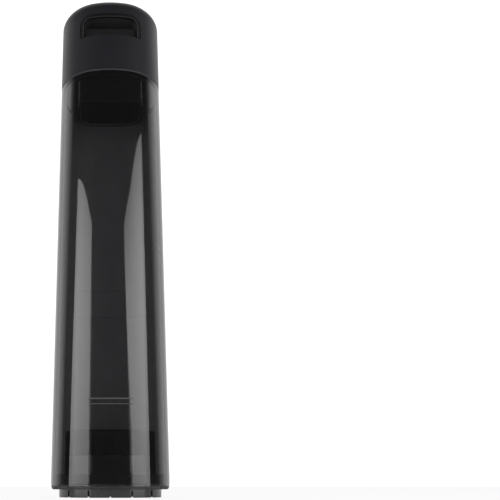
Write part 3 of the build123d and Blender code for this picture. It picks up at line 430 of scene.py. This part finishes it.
# Near-black all over, with a painted highlight in paler grey along the cap's lower edge.
dress(moulded("matt_cap_black", (0.0145, 0.0139, 0.0178), 0.45, 0.00045, 0.25, gloss=0.3,
              zone=cap_foot_highlight, zone_colour=(0.05, 0.049, 0.055), bloom=0.15), "top_cap", "fill_lid")
round_edges(0.0004, "top_cap", "fill_lid")

# Finger cup: the lining of the cap's window; painted light makes the shaded pocket behind its black rim
# paler, and a painted highlight runs along the rim's lip.
# It is clipped in from the front.
WINDOW_HALF = 0.0255
WINDOW_ROUND = 0.009
WINDOW_TOP = 0.3825
CREST_CENTRE = 0.02765
# Strengths of the painted light in the pocket and of the painted highlight on the lip.
POCKET_REACH = 0.0635
POCKET_PAINTED_LIGHT = 0.5
LIP_REACH = 0.0654
LIP_INSET = 0.0027
LIP_PAINTED_HIGHLIGHT = 0.65


def cup_painted_light(place):
    """Painted light in the pocket behind the rim, which follows the round front, and a painted highlight on
    the rim's lip, both paler.
    """
    flat = place.make("Mapping", {}, {"Vector": place, "Location": (0, -CREST_CENTRE, 0), "Scale": (1, 1, 0)})
    reach = place.make("VectorMath", {"operation": "LENGTH"}, {0: flat}, "Value")
    beside = larger(sideways(place) - (WINDOW_HALF - WINDOW_ROUND), 0.0)
    above = larger(along("Z", place) - (WINDOW_TOP - WINDOW_ROUND), 0.0)
    inset = WINDOW_ROUND - place.make("Math", {"operation": "SQRT"}, {0: beside * beside + above * above})
    pocket = POCKET_REACH - reach > 0
    lip = (inset > LIP_INSET) * (reach > LIP_REACH)
    return pocket * POCKET_PAINTED_LIGHT + lip * LIP_PAINTED_HIGHLIGHT


# Black, with painted light in the pocket and a painted highlight on the lip.
dress(moulded("matt_cup_black", (0.004, 0.004, 0.0043), 0.4, 0.00045, 0.2, gloss=0.4,
              zone=cup_painted_light, zone_colour=(0.065, 0.065, 0.07)), "finger_cup")
round_edges(0.0003, "finger_cup")

# Release button: the pad that is pressed down in the cup, with the bridge and bolt behind it.
# Its two springs push it up again.
dress(moulded("satin_button_black", (0.009, 0.009, 0.0098), 0.42, 0.00045, 0.15), "release_button")
round_edges(0.0004, "release_button")

# Floor: a plain pale sheet that takes the tank's shadow.
# It is lit, and partly white by itself to the camera and in what mirrors it, so that it meets the white room.
FLOOR_WHITE = 0.9
MIRRORED_WHITE = 0.25
bpy.ops.mesh.primitive_plane_add(size=8.0, location=(0, 0, 0))
floor = bpy.context.object
floor.name = "floor"
pale = bpy.data.materials.new("pale_floor")
start = blank(pale)
white = start.make("LightPath", output="Is Camera Ray") * FLOOR_WHITE
for way in ("Is Glossy Ray", "Is Transmission Ray"):
    white = larger(white, start.make("LightPath", output=way) * MIRRORED_WHITE)
paper = start.make("BsdfDiffuse", {}, {"Color": (0.86, 0.86, 0.86, 1)})
glow = start.make("Emission", {}, {"Color": (1, 1, 1, 1), "Strength": 1.0})
sheet = start.make("MixShader", {}, {0: white, 1: paper, 2: glow})
start.make("OutputMaterial", {}, {"Surface": sheet})
floor.data.materials.append(pale)

# Room: white behind and above the tank, dim on the camera's side, so that the clear front shows its inside.
# The camera itself sees white all round.
ROOM_RISE = 0.45
DIM_UP_TO = 0.17
DIM_LEVEL = 0.06
WHITE_FROM = 0.7
WHITE_LEVEL = 1.2
room = bpy.data.worlds.new("room")
bpy.context.scene.world = room
start = blank(room)
seen = start.make("LightPath", output="Is Camera Ray")
direction = start.make("TexCoord", output="Generated")
behind = start.make("MapRange", {}, {
    "Value": along("Z", direction) * ROOM_RISE + along("Y", direction),
    "From Min": DIM_UP_TO, "From Max": WHITE_FROM, "To Min": DIM_LEVEL, "To Max": WHITE_LEVEL,
})
backdrop = start.make("Background", {}, {"Color": (1, 1, 1, 1), "Strength": larger(seen, behind)})
start.make("OutputWorld", {}, {"Surface": backdrop})

# Two tall softboxes on the floor, either side of the camera, with slanted edges and a small step in the top.
# Their mirror images are the bright bands on the clear front.
LAMP_DISTANCE = 1.5
LAMP_LEVEL = 2.9
STEP_BLUR = 0.14
BRIGHTEST_AT = 0.45
FALL_OFF = 1.5
INNER_LEVEL = 0.75
OUTER_GAIN = 0.35
for name, side, facing, height, top_slant, step, step_at, inner, inner_lean, outer, outer_lean in (
    ("left_softbox", -1, 55, 0.918, 0.085, 0.016, -0.73, -0.825, 0.0, 0.545, -0.27),
    ("right_softbox", 1, 63, 1.092, 0.082, 0.031, -1.01, -1.043, -0.416, 0.2, -0.14),
):
    near = min(inner, inner + inner_lean * height)
    width = outer - near
    tall = height + top_slant * max(outer, 0)
    turn = math.radians(facing)
    lamp = bpy.data.lights.new(name, "AREA")
    lamp.shape = "RECTANGLE"
    lamp.size = width
    lamp.size_y = tall
    lamp.energy = LAMP_LEVEL * math.pi * width * tall
    start = blank(lamp)
    spot = start.make("NewGeometry", output="Parametric")
    across = along("X", spot)
    if side < 0:
        across = 1 - across
    up = along("Y", spot) * tall
    outward = across * width + near
    raised = start.make("MapRange", {"interpolation_type": "SMOOTHSTEP"}, {
        "Value": outward, "From Min": step_at + STEP_BLUR, "From Max": step_at - STEP_BLUR,
        "To Min": 0.0, "To Max": step,
    })
    top = outward * top_slant + height + raised
    lit = (outward > up * inner_lean + inner) * (up * outer_lean + outer > outward) * (top > up)
    rise = up - BRIGHTEST_AT
    level = (1 - rise * rise * FALL_OFF) * (across * OUTER_GAIN + INNER_LEVEL)
    start.make("OutputLight", {}, {"Surface": start.make("Emission", {}, {"Strength": lit * level})})
    softbox = bpy.data.objects.new(name, lamp)
    middle = near + width / 2
    softbox.location = (
        side * (LAMP_DISTANCE * math.sin(turn) + middle * math.cos(turn)),
        middle * math.sin(turn) - LAMP_DISTANCE * math.cos(turn),
        tall / 2,
    )
    softbox.rotation_euler = (math.radians(90), 0, side * turn)
    bpy.context.scene.collection.objects.link(softbox)

# Camera: low in front of the tank and tilted up.
# Its lens is shifted, so that the tank stands left of the middle without being turned.
TILT = 19.43
camera = bpy.data.cameras.new("camera")
camera.sensor_width = 36.0
camera.lens = 47.94
camera.shift_x = 0.2794
eye = bpy.data.objects.new("camera", camera)
eye.location = (0, -0.5004, 0.0081)
eye.rotation_euler = (math.radians(90 + TILT), 0, 0)
bpy.context.scene.collection.objects.link(eye)
bpy.context.scene.camera = eye
bpy.context.scene.view_settings.view_transform = "Standard"
